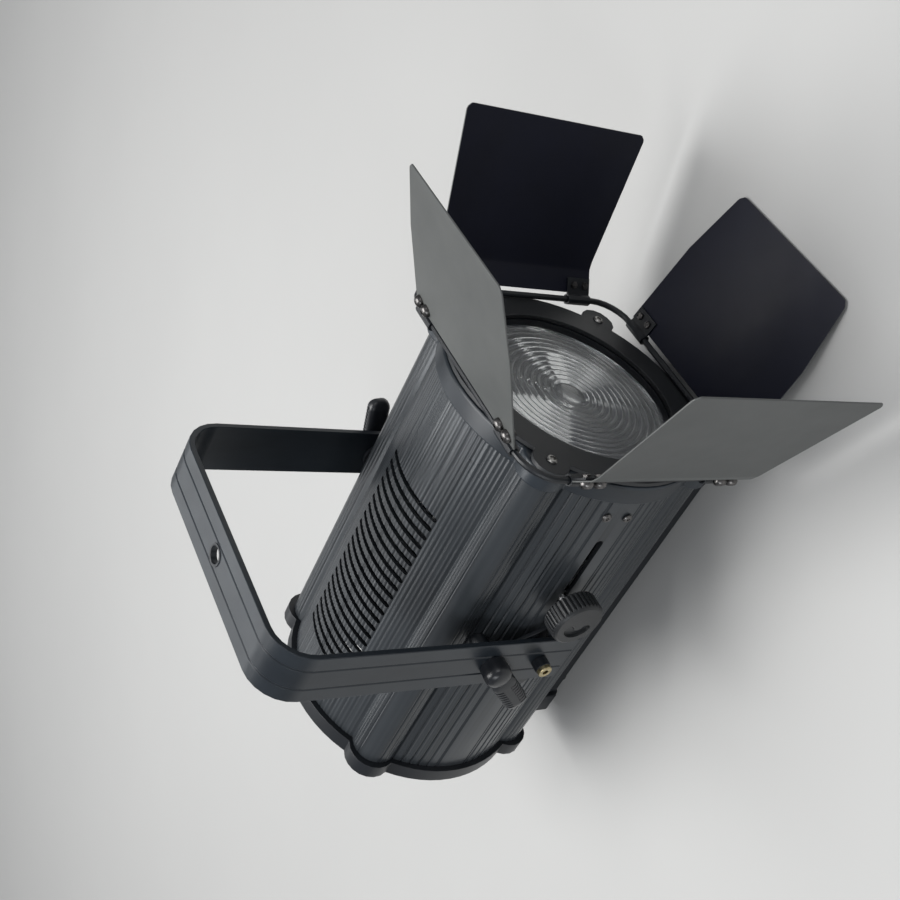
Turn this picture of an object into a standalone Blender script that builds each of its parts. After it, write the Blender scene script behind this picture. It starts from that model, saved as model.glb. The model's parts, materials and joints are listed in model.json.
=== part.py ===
"""LED fresnel spotlight with barn doors and a yoke: separate sub-parts in one frame.

Working frame in millimetres: +X right seen from the front, +Y to the rear along the
optical axis, +Z up.  y = 0 is the front face of the bezel, x = z = 0 the optical axis.
"""
import math

import bmesh
import bpy

for old in list(bpy.data.objects):
    bpy.data.objects.remove(old, do_unlink=True)

MM = 0.001
GAP = 0.3

# point of the working frame that sits at the world origin
ORIGIN_X = -5.37
ORIGIN_Y = 105.1

# extruded body
BODY_R = 100.5
BODY_WALL = 3.5
BODY_LOBE_R = 18.5
LOBE_RISE = 11.5
LOBE_ANGLE = 42.7
BODY_FRONT = 16.3
BODY_REAR = 324.2
GROOVE_PITCH = 9.0
GROOVE_DEPTH = 1.1
GROOVE_HALF = 0.7

# top vents
VENT_REAR_MARGIN = 38.0
VENT_PITCH = 9.2
VENT_WIDTH = 3.8
VENT_FIRST = 97.5
VENT_HALF_LENGTH = 37.0

# rear cap and control panel
CAP_LIP = 4.5
CAP_LOBE_GROW = 1.1
CAP_DEPTH = 13.0
CAP_WALL = 3.3
PANEL_HALF_W = 48.0
PANEL_TOP = 8.0
PANEL_BOTTOM = -76.0
PANEL_THICK = 2.0
BUTTON_R = 4.0
BUTTON_SPACING = 16.0

# front bezel, plate and lens
BEZEL_LIP = 2.5
BEZEL_LOBE_LIP = 4.0
BEZEL_DEPTH = 16.0
PLATE_LIP = 1.5
PLATE_LOBE_OFFSET = 5.3
PLATE_LOBE_R = 13.8
PLATE_THICK = 3.4
PLATE_COVER = 3.0
PLATE_LOBE_ANGLE = 41.8
LENS_R = 82.0
LENS_FRONT = 6.0
LENS_BACK = 12.0
LENS_FIT = 0.6
HOLDER_WALL = 4.0
HOLDER_LIP = 4.0
LENS_RINGS = 11
LENS_EYE_R = 11.0

# barn-door rod frame
ROD_R = 2.5
ROD_INSET = 0.2
ROD_CORNER_R = 25.0

# barn-door leaves
SHEET = 1.2
LEAF_START = 5.4
LEAF_LENGTH = 134.0
LEAF_SIDE_GAP = 23.3
LEAF_KINK_AT = 77.0
LEAF_KINK_TAPER = 2.5
LEAF_TIP_TAPER = 11.0
LEAF_CHAMFER = 6.0
SIDE_FLAP = 26.0
SIDE_FLAP_GAP = 27.8
SIDE_BLADE = 109.5
SIDE_BLADE_FLARE = 11.0
SIDE_BEND = 25.0
TOP_ANGLE = 29.0
BOTTOM_ANGLE = 9.5
RIGHT_ANGLE = 40.0
LEFT_ANGLE = 45.0
CLIP_WIDTH = 22.0
CLIP_REACH = 17.0
CLIP_MARGIN = 0.8
CLIP_MARGIN_SIDE = 4.0

# yoke and tilt pivot
PIVOT_Y = 170.5
PIVOT_Z = 47.0
YOKE_CLEAR = 11.7
YOKE_WIDTH = 44.8
YOKE_THICK = 4.5
YOKE_RISE = 182.2
YOKE_DROP = 71.6
YOKE_CORNER_R = 30.0
YOKE_TILT = 2.46
YOKE_HOLE_R = 6.5
BOLT_DROP = 44.0
BOLT_R = 4.0
BOLT_HEAD_R = 5.6
BOLT_HEAD_LEN = 11.0
STUD_R = 5.0
BOSS_R = 6.5
SECTOR_THICK = 3.0
SECTOR_APEX_R = 13.7
SECTOR_REACH = 62.0
SECTOR_SPREAD = 32.0
SLOT_HALF_SPAN = 33.0
LEVER_HUB_R = 10.0
LEVER_HUB_LEN = 15.0
LEVER_LENGTH = 47.0
LEVER_WIDTH = 19.0
LEVER_THICK = 12.0
LEVER_REST = {"left": -45.0, "right": 170.0}

# zoom drive
KNOB_Y = 115.0
KNOB_Z = 6.0
KNOB_R = 20.5
KNOB_LEN = 16.0
KNOB_TEETH = 34
KNOB_STANDOFF = 10.1
DISH_OUT = 12.5
DISH_IN = 4.5
DISH_SPAN = 62.0
ZOOM_TRAVEL = 55.0
ZOOM_SLOT_END = 3.0
ZOOM_SLOT_HALF = 3.2
STEM_R = 2.7
GUIDE_INSET = 18.0
GUIDE_Z = -30.0
GUIDE_R = 4.0
FIN_COUNT = 9

# base
BASE_HALF = 60.0
BASE_DEPTH = 19.5
BASE_WALL = 2.5
BASE_FRONT = 17.0
BASE_END_LEN = 21.0
BASE_END_MARGIN = 3.2
FOOT_R = 7.0
FOOT_HEIGHT = 4.7

# sizes that follow from the ones above
BORE_R = BODY_R - BODY_WALL
BODY_LOBE_D = BODY_R + LOBE_RISE - BODY_LOBE_R
CAP_R = BODY_R + CAP_LIP
CAP_LOBE_D = BODY_LOBE_D + CAP_LIP
CAP_LOBE_R = BODY_LOBE_R + CAP_LOBE_GROW
BEZEL_R = BODY_R + BEZEL_LIP
BEZEL_LOBE_D = BODY_LOBE_D + BEZEL_LOBE_LIP
BEZEL_LOBE_R = BODY_LOBE_R
PLATE_R = BODY_R + PLATE_LIP
PLATE_LOBE_D = BODY_R + PLATE_LOBE_OFFSET
PLATE_OPEN_R = LENS_R - PLATE_COVER
HOLDER_IN = LENS_R + LENS_FIT
HOLDER_OUT = HOLDER_IN + HOLDER_WALL
BEZEL_BORE_R = HOLDER_OUT + 0.4
ROD_HALF = BODY_R - ROD_INSET
ROD_Y = -(GAP + PLATE_THICK + GAP + ROD_R)
LEAF_ROOT_HALF = ROD_HALF - LEAF_SIDE_GAP
SIDE_FLAP_HALF = ROD_HALF - SIDE_FLAP_GAP
SIDE_BLADE_HALF = SIDE_FLAP_HALF + SIDE_BLADE_FLARE
ROD_STRAIGHT = ROD_HALF - ROD_CORNER_R
CLIP_SPACING = ROD_STRAIGHT - CLIP_WIDTH / 2.0 - CLIP_MARGIN
CLIP_SPACING_SIDE = ROD_STRAIGHT - CLIP_WIDTH / 2.0 - CLIP_MARGIN_SIDE
YOKE_HALF = BODY_R + YOKE_CLEAR
VENT_COUNT = int((BODY_REAR - VENT_REAR_MARGIN - VENT_FIRST) / VENT_PITCH) + 1
GUIDE_X = BORE_R - GUIDE_INSET
BASE_TOP = -math.sqrt(BODY_R**2 - (BASE_HALF - BASE_WALL)**2) - GAP
BASE_BOTTOM = -(BODY_R + BASE_DEPTH)
BASE_REAR = BODY_REAR - BASE_END_MARGIN - BASE_END_LEN
ORIGIN_Z = BASE_BOTTOM - GAP - FOOT_HEIGHT


def material(name, rgb, rough, metal):
    mat = bpy.data.materials.new(name)
    mat.use_nodes = True
    node = mat.node_tree.nodes["Principled BSDF"]
    node.inputs["Base Color"].default_value = (rgb[0], rgb[1], rgb[2], 1.0)
    node.inputs["Roughness"].default_value = rough
    node.inputs["Metallic"].default_value = metal
    mat.diffuse_color = (rgb[0], rgb[1], rgb[2], 1.0)
    return mat


def emit(name, bm, mat, origin=(0.0, 0.0, 0.0), rot=(0.0, 0.0, 0.0), angle=32.0):
    """Mesh in millimetres about `origin`, which becomes the object's own origin."""
    bmesh.ops.remove_doubles(bm, verts=bm.verts, dist=0.0005)
    bmesh.ops.recalc_face_normals(bm, faces=bm.faces)
    for vert in bm.verts:
        vert.co = vert.co * MM
    mesh = bpy.data.meshes.new(name)
    bm.to_mesh(mesh)
    bm.free()
    mesh.materials.append(mat)
    mesh.polygons.foreach_set("use_smooth", [True] * len(mesh.polygons))
    mesh.set_sharp_from_angle(angle=math.radians(angle))
    obj = bpy.data.objects.new(name, mesh)
    bpy.context.scene.collection.objects.link(obj)
    obj.location = (
        (origin[0] - ORIGIN_X) * MM,
        (origin[1] - ORIGIN_Y) * MM,
        (origin[2] - ORIGIN_Z) * MM,
    )
    obj.rotation_euler = tuple(math.radians(a) for a in rot)
    return obj


def tool(target, name, bm, mat, operation, origin=(0.0, 0.0, 0.0), rot=(0.0, 0.0, 0.0)):
    """Boolean helper body kept out of the renders."""
    obj = emit(name, bm, mat, origin, rot)
    obj.hide_render = True
    obj.display_type = "WIRE"
    mod = target.modifiers.new(name, "BOOLEAN")
    mod.operation = operation
    mod.solver = "EXACT"
    mod.object = obj
    return obj


def axis_point(axis, a, b, t):
    if axis == "X":
        return (t, a, b)
    if axis == "Y":
        return (a, t, b)
    return (a, b, t)


def ring(bm, loop, axis, t):
    return [bm.verts.new(axis_point(axis, a, b, t)) for a, b in loop]


def wall(bm, first, second):
    count = len(first)
    for i in range(count):
        j = (i + 1) % count
        bm.faces.new((first[i], first[j], second[j], second[i]))


def fill(bm, rings):
    """Flat face bounded by the first ring, with the other rings as holes."""
    edges = []
    for verts in rings:
        count = len(verts)
        for i in range(count):
            pair = (verts[i], verts[(i + 1) % count])
            edge = bm.edges.get(pair)
            if edge is None:
                edge = bm.edges.new(pair)
            edges.append(edge)
    bmesh.ops.triangle_fill(bm, use_beauty=True, use_dissolve=False, edges=edges)


def plate(loops, axis, low, high, bm=None):
    """Flat plate with holes: the first loop is the outline."""
    if bm is None:
        bm = bmesh.new()
    lows = [ring(bm, loop, axis, low) for loop in loops]
    highs = [ring(bm, loop, axis, high) for loop in loops]
    for a, b in zip(lows, highs):
        wall(bm, a, b)
    fill(bm, lows)
    fill(bm, highs)
    return bm


def circle(radius, count, ca=0.0, cb=0.0, start=0.0):
    step = 2.0 * math.pi / count
    base = math.radians(start)
    points = []
    for i in range(count):
        ang = base + i * step
        points.append((ca + radius * math.cos(ang), cb + radius * math.sin(ang)))
    return points


def arc(radius, start, end, count, ca=0.0, cb=0.0):
    points = []
    for i in range(count + 1):
        ang = math.radians(start + (end - start) * i / count)
        points.append((ca + radius * math.cos(ang), cb + radius * math.sin(ang)))
    return points


def rect(a0, a1, b0, b1):
    return [(a0, b0), (a1, b0), (a1, b1), (a0, b1)]


def rounded_rect(a0, a1, b0, b1, radius, count=3):
    points = []
    points += arc(radius, 0, 90, count, a1 - radius, b1 - radius)
    points += arc(radius, 90, 180, count, a0 + radius, b1 - radius)
    points += arc(radius, 180, 270, count, a0 + radius, b0 + radius)
    points += arc(radius, 270, 360, count, a1 - radius, b0 + radius)
    return points


def box(x0, x1, y0, y1, z0, z1, bm=None):
    return plate([rect(x0, x1, y0, y1)], "Z", z0, z1, bm)


def lathe(profile, axis, segs, ca=0.0, cb=0.0, closed=False):
    """Turn (radius, position) pairs about an axis; radius 0 ends close the body."""
    bm = bmesh.new()
    rows = []
    for radius, t in profile:
        if radius <= 1e-6:
            rows.append([bm.verts.new(axis_point(axis, ca, cb, t))])
        else:
            rows.append(ring(bm, circle(radius, segs, ca, cb), axis, t))
    pairs = list(zip(rows, rows[1:]))
    if closed:
        pairs.append((rows[-1], rows[0]))
    for a, b in pairs:
        if len(a) == 1 and len(b) == 1:
            continue
        for i in range(segs):
            j = (i + 1) % segs
            if len(a) == 1:
                bm.faces.new((a[0], b[j], b[i]))
            elif len(b) == 1:
                bm.faces.new((a[i], a[j], b[0]))
            else:
                bm.faces.new((a[i], a[j], b[j], b[i]))
    return bm


def lobed_loop(radius, lobe_d, lobe_r, lobe_angle, arc_steps, lobe_steps, grooves=False):
    """Round outline with four lobes; the arcs can carry V-grooves between flat bands."""
    cos_half = (radius**2 + lobe_d**2 - lobe_r**2) / (2.0 * radius * lobe_d)
    half = math.degrees(math.acos(min(1.0, cos_half)))
    # angle at the lobe centre from its own axis to the junction with the round outline
    jx = radius * math.cos(math.radians(half)) - lobe_d
    jy = radius * math.sin(math.radians(half))
    sweep = math.degrees(math.atan2(jy, jx))
    centres = [lobe_angle, 180.0 - lobe_angle, 180.0 + lobe_angle, 360.0 - lobe_angle]
    points = []
    for k in range(4):
        here = centres[k]
        after = centres[(k + 1) % 4] + (360.0 if k == 3 else 0.0)
        cx = lobe_d * math.cos(math.radians(here))
        cz = lobe_d * math.sin(math.radians(here))
        points += arc(lobe_r, here - sweep, here + sweep, lobe_steps, cx, cz)
        start = here + half
        end = after - half
        if grooves:
            bands = max(2, int(round((end - start) / GROOVE_PITCH)))
            pitch = (end - start) / bands
            for i in range(1, bands):
                mid = start + i * pitch
                points += arc(radius, mid - GROOVE_HALF, mid - GROOVE_HALF, 1)[:1]
                points += arc(radius - GROOVE_DEPTH, mid, mid, 1)[:1]
                points += arc(radius, mid + GROOVE_HALF, mid + GROOVE_HALF, 1)[:1]
        else:
            points += arc(radius, start, end, arc_steps)[1:-1]
    return points


def sweep_loop(sections, closed=False, caps=True):
    """Skin a list of equal-length point rings."""
    bm = bmesh.new()
    rows = [[bm.verts.new(p) for p in section] for section in sections]
    for a, b in zip(rows, rows[1:]):
        wall(bm, a, b)
    if closed:
        wall(bm, rows[-1], rows[0])
    elif caps:
        fill(bm, [rows[0]])
        fill(bm, [rows[-1]])
    return bm


DARK = material("dark_paint", (0.045, 0.047, 0.05), 0.42, 0.15)
BLACK = material("black_paint", (0.02, 0.02, 0.022), 0.5, 0.1)
LEAF = material("leaf_paint", (0.06, 0.062, 0.065), 0.55, 0.1)
RUBBER = material("rubber", (0.015, 0.015, 0.015), 0.85, 0.0)
PLASTIC = material("plastic", (0.03, 0.03, 0.032), 0.55, 0.0)
STEEL = material("steel", (0.6, 0.6, 0.6), 0.3, 1.0)
BRASS = material("brass", (0.7, 0.52, 0.2), 0.3, 1.0)
ALU = material("aluminium", (0.65, 0.66, 0.68), 0.35, 1.0)
GLASS = material("glass", (0.9, 0.93, 0.93), 0.05, 0.0)
PHOSPHOR = material("phosphor", (0.75, 0.72, 0.35), 0.6, 0.0)


def housing_shell():
    outer = lobed_loop(BODY_R, BODY_LOBE_D, BODY_LOBE_R, LOBE_ANGLE, 12, 8, True)
    inner = circle(BORE_R, 58, start=1.3)
    shell = emit("housing_shell", plate([outer, inner], "Y", BODY_FRONT, BODY_REAR), DARK, angle=24)
    vents = bmesh.new()
    for i in range(VENT_COUNT):
        y = VENT_FIRST + i * VENT_PITCH
        half = VENT_WIDTH / 2.0
        box(-VENT_HALF_LENGTH, VENT_HALF_LENGTH, y - half, y + half, BORE_R - 15.0, BODY_R + 12.0, vents)
    tool(shell, "vent_tool", vents, DARK, "DIFFERENCE")
    z = KNOB_Z
    front = KNOB_Y - ZOOM_TRAVEL - STEM_R - ZOOM_SLOT_END
    rear = KNOB_Y + STEM_R + ZOOM_SLOT_END
    slot = box(-BODY_R - 11.0, -BORE_R + 9.0, front, rear, z - ZOOM_SLOT_HALF, z + ZOOM_SLOT_HALF)
    tool(shell, "zoom_slot_tool", slot, DARK, "DIFFERENCE")
    return shell


def rear_cap():
    front = BODY_REAR + GAP
    back = front + CAP_DEPTH
    floor = back - CAP_WALL
    outer = lobed_loop(CAP_R, CAP_LOBE_D, CAP_LOBE_R, LOBE_ANGLE, 12, 8)
    pocket = circle(CAP_R - 12.0, 48)
    slots = []
    for i in range(6):
        z = 28.0 + i * 10.0
        reach = min(60.0, math.sqrt((CAP_R - 20.0)**2 - z**2))
        slots.append(rect(-reach, reach, z - 2.2, z + 2.2))
    bm = bmesh.new()
    outer_front = ring(bm, outer, "Y", front)
    outer_back = ring(bm, outer, "Y", back)
    pocket_front = ring(bm, pocket, "Y", front)
    pocket_floor = ring(bm, pocket, "Y", floor)
    slot_floor = [ring(bm, slot, "Y", floor) for slot in slots]
    slot_back = [ring(bm, slot, "Y", back) for slot in slots]
    wall(bm, outer_front, outer_back)
    wall(bm, pocket_front, pocket_floor)
    for a, b in zip(slot_floor, slot_back):
        wall(bm, a, b)
    fill(bm, [outer_front, pocket_front])
    fill(bm, [pocket_floor] + slot_floor)
    fill(bm, [outer_back] + slot_back)
    emit("rear_cap", bm, BLACK)
    return back


def rear_controls(back):
    y0 = back + GAP
    y1 = y0 + PANEL_THICK
    spots = [-1.5 * BUTTON_SPACING + i * BUTTON_SPACING for i in range(4)]
    holes = [circle(BUTTON_R + 0.3, 16, x, -24.0) for x in spots]
    outline = rounded_rect(-PANEL_HALF_W, PANEL_HALF_W, PANEL_BOTTOM, PANEL_TOP, 5.0)
    emit("rear_panel", plate([outline] + holes, "Y", y0, y1), DARK)
    face = y1 + GAP
    window = plate([rounded_rect(-24.0, 24.0, -13.0, 3.0, 2.0)], "Y", face, face + 1.6)
    emit("display_window", window, GLASS)
    for i, x in enumerate(spots):
        profile = [(0.0, 0.0), (BUTTON_R, 0.0), (BUTTON_R, 2.8), (BUTTON_R - 0.7, 3.4), (0.0, 3.5)]
        cap = lathe(profile, "Y", 16)
        emit("menu_button_%d" % (i + 1), cap, PLASTIC, origin=(x, y0 + 1.3, -24.0))
    for name, x, radius in (("power_inlet", -26.0, 13.0), ("dmx_in", 6.0, 10.5), ("dmx_out", 33.0, 10.5)):
        z = -52.0
        flange = radius + 2.0
        bm = bmesh.new()
        outline = rounded_rect(x - flange, x + flange, z - flange, z + flange, 3.0)
        hole = circle(radius - 2.0, 24, x, z)
        barrel = circle(radius, 24, x, z)
        f0 = ring(bm, outline, "Y", face)
        f1 = ring(bm, outline, "Y", face + 2.5)
        b1 = ring(bm, barrel, "Y", face + 2.5)
        b2 = ring(bm, barrel, "Y", face + 9.0)
        h2 = ring(bm, hole, "Y", face + 9.0)
        h1 = ring(bm, hole, "Y", face + 1.2)
        wall(bm, f0, f1)
        wall(bm, b1, b2)
        wall(bm, h2, h1)
        fill(bm, [f0])
        fill(bm, [f1, b1])
        fill(bm, [b2, h2])
        fill(bm, [h1])
        emit(name, bm, PLASTIC)


def front_group():
    outer = lobed_loop(BEZEL_R, BEZEL_LOBE_D, BEZEL_LOBE_R, LOBE_ANGLE, 12, 8)
    slim = lobed_loop(BEZEL_R - 1.6, BEZEL_LOBE_D, BEZEL_LOBE_R - 1.6, LOBE_ANGLE, 12, 8)
    bore = circle(BEZEL_BORE_R, 64)
    bm = bmesh.new()
    front_outer = ring(bm, slim, "Y", 0.0)
    shoulder = ring(bm, outer, "Y", 1.6)
    rear_outer = ring(bm, outer, "Y", BEZEL_DEPTH)
    front_bore = ring(bm, bore, "Y", 0.0)
    rear_bore = ring(bm, bore, "Y", BEZEL_DEPTH)
    wall(bm, front_outer, shoulder)
    wall(bm, shoulder, rear_outer)
    wall(bm, front_bore, rear_bore)
    fill(bm, [front_outer, front_bore])
    fill(bm, [rear_outer, rear_bore])
    emit("front_bezel", bm, BLACK)

    outline = lobed_loop(PLATE_R, PLATE_LOBE_D, PLATE_LOBE_R, PLATE_LOBE_ANGLE, 12, 8)
    opening = circle(PLATE_OPEN_R, 64)
    y1 = -GAP
    y0 = y1 - PLATE_THICK
    emit("front_plate", plate([outline, opening], "Y", y0, y1), DARK)
    signs = ((-1, 1), (1, 1), (1, -1), (-1, -1))
    for i, (sx, sz) in enumerate(signs):
        ang = math.radians(PLATE_LOBE_ANGLE)
        x = sx * PLATE_LOBE_D * math.cos(ang)
        z = sz * PLATE_LOBE_D * math.sin(ang)
        top = y0 - GAP
        profile = [
            (0.0, top), (4.2, top), (4.2, top - 0.7), (3.2, top - 1.7),
            (1.5, top - 2.0), (1.5, top - 0.9), (0.0, top - 0.9),
        ]
        emit("plate_screw_%d" % (i + 1), lathe(profile, "Y", 16, x, z), STEEL)

    holder = [
        (HOLDER_OUT, 0.4), (HOLDER_OUT, 22.0), (BORE_R - 1.5, 22.0), (BORE_R - 1.5, 26.0), (HOLDER_IN, 26.0),
        (HOLDER_IN, LENS_FRONT - GAP), (LENS_R - HOLDER_LIP, LENS_FRONT - GAP), (LENS_R - HOLDER_LIP, 0.4),
    ]
    emit("lens_holder", lathe(holder, "Y", 48, closed=True), BLACK)
    retainer = [
        (LENS_R + 0.2, LENS_BACK + GAP), (LENS_R + 0.2, 18.0),
        (LENS_R - 5.0, 18.0), (LENS_R - 5.0, LENS_BACK + GAP),
    ]
    emit("lens_retainer", lathe(retainer, "Y", 36, closed=True), ALU)

    profile = [(0.0, LENS_FRONT + 0.2), (LENS_EYE_R * 0.6, LENS_FRONT + 0.8), (LENS_EYE_R, LENS_FRONT + 2.2)]
    pitch = (LENS_R - HOLDER_LIP - LENS_EYE_R) / LENS_RINGS
    for i in range(LENS_RINGS):
        inner = LENS_EYE_R + i * pitch
        profile.append((inner + 0.25, LENS_FRONT + 0.3))
        profile.append((inner + pitch, LENS_FRONT + 2.2))
    profile += [
        (LENS_R - 3.0, LENS_FRONT + 0.2), (LENS_R, LENS_FRONT + 0.2), (LENS_R, LENS_BACK), (0.0, LENS_BACK),
    ]
    emit("fresnel_lens", lathe(profile, "Y", 36), GLASS, angle=20)


def barndoor_frame():
    path = []
    inset = ROD_HALF - ROD_CORNER_R
    for k, (sx, sz) in enumerate(((1, 1), (-1, 1), (-1, -1), (1, -1))):
        path += [
            (x, z, ang)
            for (x, z), ang in zip(
                arc(ROD_CORNER_R, 90.0 * k, 90.0 * k + 90.0, 6, sx * inset, sz * inset),
                [90.0 * k + 15.0 * i for i in range(7)],
            )
        ]
    sections = []
    for x, z, ang in path:
        out = (math.cos(math.radians(ang)), math.sin(math.radians(ang)))
        section = []
        for i in range(10):
            a = 2.0 * math.pi * i / 10
            rad = ROD_R * math.cos(a)
            section.append((x + out[0] * rad, ROD_Y + ROD_R * math.sin(a), z + out[1] * rad))
        sections.append(section)
    emit("barndoor_frame", sweep_loop(sections, closed=True), BLACK, angle=50)


def place_leaf(kind, u, v, n):
    """Leaf coordinates (along the rod, along the leaf, outward normal) to local axes."""
    if kind == "top":
        return (u, -v, n)
    if kind == "bottom":
        return (u, -v, -n)
    if kind == "right":
        return (n, -v, u)
    return (-n, -v, u)


LEAVES = {
    "top": ((0.0, ROD_Y, ROD_HALF), (-TOP_ANGLE, 0.0, 0.0), CLIP_SPACING),
    "bottom": ((0.0, ROD_Y, -ROD_HALF), (BOTTOM_ANGLE, 0.0, 0.0), CLIP_SPACING),
    "right": ((ROD_HALF, ROD_Y, 0.0), (0.0, 0.0, RIGHT_ANGLE), CLIP_SPACING_SIDE),
    "left": ((-ROD_HALF, ROD_Y, 0.0), (0.0, 0.0, -LEFT_ANGLE), CLIP_SPACING_SIDE),
}


def leaf_stations(kind):
    """(half width, distance, height) along the sheet's inner face."""
    if kind in ("top", "bottom"):
        return [
            (LEAF_ROOT_HALF, LEAF_START, GAP),
            (LEAF_ROOT_HALF - LEAF_KINK_TAPER, LEAF_KINK_AT, GAP),
            (LEAF_ROOT_HALF - LEAF_TIP_TAPER, LEAF_LENGTH - LEAF_CHAMFER, GAP),
            (LEAF_ROOT_HALF - LEAF_TIP_TAPER - LEAF_CHAMFER, LEAF_LENGTH, GAP),
        ]
    bend = math.radians(SIDE_BEND)
    rows = [(SIDE_FLAP_HALF, LEAF_START, GAP), (SIDE_FLAP_HALF, SIDE_FLAP, GAP)]
    for half, along in (
        (SIDE_BLADE_HALF, SIDE_BLADE - 5.0),
        (SIDE_BLADE_HALF - 4.5, SIDE_BLADE),
    ):
        v = SIDE_FLAP + along * math.cos(bend)
        n = GAP - along * math.sin(bend)
        rows.append((half, v, n))
    return rows


def leaf(kind):
    origin, rot, spacing = LEAVES[kind]
    rows = leaf_stations(kind)
    # unit normals of each run, averaged at the bend
    normals = []
    for i in range(len(rows)):
        total = [0.0, 0.0]
        for a, b in ((i - 1, i), (i, i + 1)):
            if a < 0 or b >= len(rows):
                continue
            dv = rows[b][1] - rows[a][1]
            dn = rows[b][2] - rows[a][2]
            size = math.hypot(dv, dn)
            total[0] += -dn / size
            total[1] += dv / size
        size = math.hypot(total[0], total[1])
        normals.append((total[0] / size, total[1] / size))
    sections = []
    for (half, v, n), (nv, nn) in zip(rows, normals):
        v1 = v + nv * SHEET
        n1 = n + nn * SHEET
        corners = ((-half, v, n), (half, v, n), (half, v1, n1), (-half, v1, n1))
        sections.append([place_leaf(kind, *corner) for corner in corners])
    emit("leaf_" + kind, sweep_loop(sections), LEAF, origin, rot, angle=20)
    outer_r = ROD_R + 1.8
    lower = -1.4
    start = 0.0
    end = 360.0 - math.degrees(math.asin(-lower / outer_r))
    outline = arc(outer_r, start, end, 9) + [(CLIP_REACH, lower), (CLIP_REACH, 0.0)]
    hole = circle(ROD_R + 0.45, 9)
    for tag, side in (("a", -1), ("b", 1)):
        bm = bmesh.new()
        low = side * spacing - CLIP_WIDTH / 2.0
        high = low + CLIP_WIDTH
        rings = []
        for u in (low, high):
            rings.append([
                [bm.verts.new(place_leaf(kind, u, v, n)) for v, n in loop]
                for loop in (outline, hole)
            ])
        for a, b in zip(rings[0], rings[1]):
            wall(bm, a, b)
        fill(bm, rings[0])
        fill(bm, rings[1])
        emit("clip_%s_%s" % (kind, tag), bm, BLACK, origin, rot)


def yoke():
    pivot = (0.0, PIVOT_Y, PIVOT_Z)
    half = YOKE_WIDTH / 2.0
    mark = 0.21 * YOKE_WIDTH
    # bar section: (across the bar, depth below the outer face), grooves on the outer face
    bar = [
        (-half, 0.5), (-half + 0.5, 0.0), (-mark - 1.0, 0.0), (-mark, 0.8), (-mark + 1.0, 0.0),
        (mark - 1.0, 0.0), (mark, 0.8), (mark + 1.0, 0.0), (half - 0.5, 0.0), (half, 0.5),
        (half, YOKE_THICK - 0.5), (half - 0.5, YOKE_THICK),
        (-half + 0.5, YOKE_THICK), (-half, YOKE_THICK - 0.5),
    ]
    cx = YOKE_HALF - YOKE_CORNER_R
    cz = YOKE_RISE - YOKE_CORNER_R
    path = [(YOKE_HALF, -YOKE_DROP, 0.0)]
    for a in range(0, 91, 15):
        corner = math.radians(a)
        path.append((cx + YOKE_CORNER_R * math.cos(corner), cz + YOKE_CORNER_R * math.sin(corner), a))
    path += [(-x, z, 180.0 - a) for x, z, a in reversed(path)]
    sections = []
    for x, z, a in path:
        nx = math.cos(math.radians(a))
        nz = math.sin(math.radians(a))
        sections.append([(x - nx * depth, s, z - nz * depth) for s, depth in bar])
    body = emit("yoke", sweep_loop(sections), DARK, pivot, (YOKE_TILT, 0.0, 0.0), angle=25)
    holes = bmesh.new()
    for side in (-1, 1):
        low = side * YOKE_HALF - 12.0
        high = side * YOKE_HALF + 12.0
        plate([circle(STUD_R + GAP, 20, 0.0, 0.0)], "X", low, high, holes)
        plate([circle(BOLT_R + GAP, 16, 0.0, -BOLT_DROP)], "X", low, high, holes)
    plate([circle(YOKE_HOLE_R, 20)], "Z", YOKE_RISE - 12.0, YOKE_RISE + 8.0, holes)
    tool(body, "yoke_hole_tool", holes, DARK, "DIFFERENCE", pivot, (YOKE_TILT, 0.0, 0.0))


def sector_loop():
    """Outline and arc slot of the tilt plate in (rear, up) about the pivot."""
    spread = SECTOR_SPREAD
    reach = SECTOR_REACH
    points = arc(SECTOR_APEX_R, -spread, 180.0 + spread, 10)
    # straight sides run tangent to the apex, down to the reach circle
    side = math.sqrt(reach**2 - SECTOR_APEX_R**2)
    lean = math.radians(spread)
    corner_up = -SECTOR_APEX_R * math.sin(lean) - side * math.cos(lean)
    corner_rear = -SECTOR_APEX_R * math.cos(lean) - side * math.sin(lean)
    left = math.degrees(math.atan2(corner_up, corner_rear)) % 360.0
    right = 540.0 - left
    points += arc(reach, left, right, 10)
    slot = []
    slot += arc(BOLT_DROP + BOLT_R + GAP, 270.0 - SLOT_HALF_SPAN, 270.0 + SLOT_HALF_SPAN, 12)
    end = math.radians(270.0 + SLOT_HALF_SPAN)
    slot += arc(BOLT_R + GAP, 270.0 + SLOT_HALF_SPAN, 450.0 + SLOT_HALF_SPAN, 5,
                BOLT_DROP * math.cos(end), BOLT_DROP * math.sin(end))[1:-1]
    slot += arc(BOLT_DROP - BOLT_R - GAP, 270.0 + SLOT_HALF_SPAN, 270.0 - SLOT_HALF_SPAN, 12)
    start = math.radians(270.0 - SLOT_HALF_SPAN)
    slot += arc(BOLT_R + GAP, 90.0 - SLOT_HALF_SPAN, 270.0 - SLOT_HALF_SPAN, 5,
                BOLT_DROP * math.cos(start), BOLT_DROP * math.sin(start))[1:-1]
    return points, slot


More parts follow.
